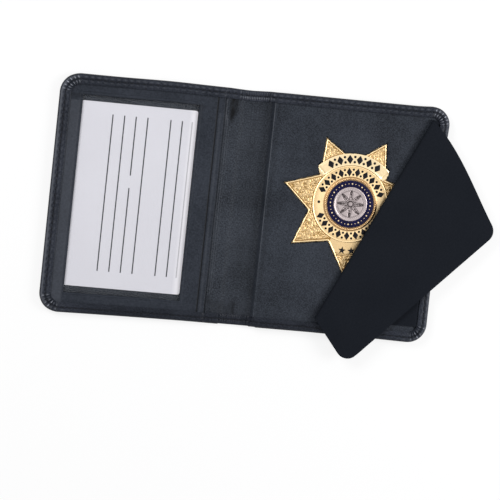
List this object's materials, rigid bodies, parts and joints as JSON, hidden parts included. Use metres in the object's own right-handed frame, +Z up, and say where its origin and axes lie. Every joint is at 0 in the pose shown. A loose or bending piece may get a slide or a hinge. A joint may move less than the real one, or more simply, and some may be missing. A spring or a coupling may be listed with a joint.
{
  "type": "id badge wallet",
  "caption": "Bifold leather wallet, lying open: a clear card window on one side, and a recessed star badge under a turned-back protective flap on the other.",
  "frame": {"origin": "middle of the spine on the surface that the open wallet lies on", "axes": "+X towards the badge half, +Y towards the top edge, +Z up from the outside of the cover to its inside"},
  "size_m": [0.2186, 0.1245, 0.0073],
  "materials": {
    "cover_leather": "smooth, low sheen",
    "panel_leather": "fine grain, low sheen",
    "flap_leather": "smooth, matte",
    "lining": "grained split leather",
    "board": "matte",
    "filler": "matte",
    "badge_gold": "gold plated, polished edges",
    "seal_silver": "nickel plated, satin",
    "seal_enamel": "hard enamel, gloss",
    "fixing_steel": "nickel plated",
    "window_vinyl": "clear, gloss",
    "card_stock": "satin printed card"
  },
  "bodies": {
    "right_half": {"right_cover": "cover_leather", "right_board": "board", "right_lining": "lining", "badge_backing": "board", "badge_filler": "filler", "badge_panel": "panel_leather", "badge_plate": "badge_gold", "badge_ribbon": "badge_gold", "seal_collar": "badge_gold", "seal_enamel_ring": "seal_enamel", "seal_disc": "seal_silver", "badge_posts": "badge_gold", "post_nuts": "fixing_steel", "flap_root": "flap_leather"},
    "spine": {"spine_cover": "cover_leather", "spine_lining": "lining"},
    "left_half": {"left_cover": "cover_leather", "left_board": "board", "left_lining": "lining", "id_window_frame": "panel_leather", "id_window": "window_vinyl"},
    "flap": {"flap_leaf": "flap_leather"},
    "card": {"id_card": "card_stock"}
  },
  "joints": [
    {"name": "spine_right_fold", "type": "hinge", "parent": "right_half", "child": "spine", "pos_m": [0.0056, 0, 0.00045], "axis": [0, 1, 0], "range_deg": [0, 90]},
    {"name": "spine_left_fold", "type": "hinge", "parent": "spine", "child": "left_half", "pos_m": [-0.0056, 0, 0.00045], "axis": [0, 1, 0], "range_deg": [0, 90]},
    {"name": "flap_fold", "type": "hinge", "parent": "right_half", "child": "flap", "pos_m": [0.0872, 0.0502, 0.0061], "axis": [-0.4279, -0.9038, 0], "range_deg": [0, 179]},
    {"name": "card_slide", "type": "slide", "parent": "left_half", "child": "card", "axis": [1, 0, 0], "range_m": [0, 0.02]}
  ]
}
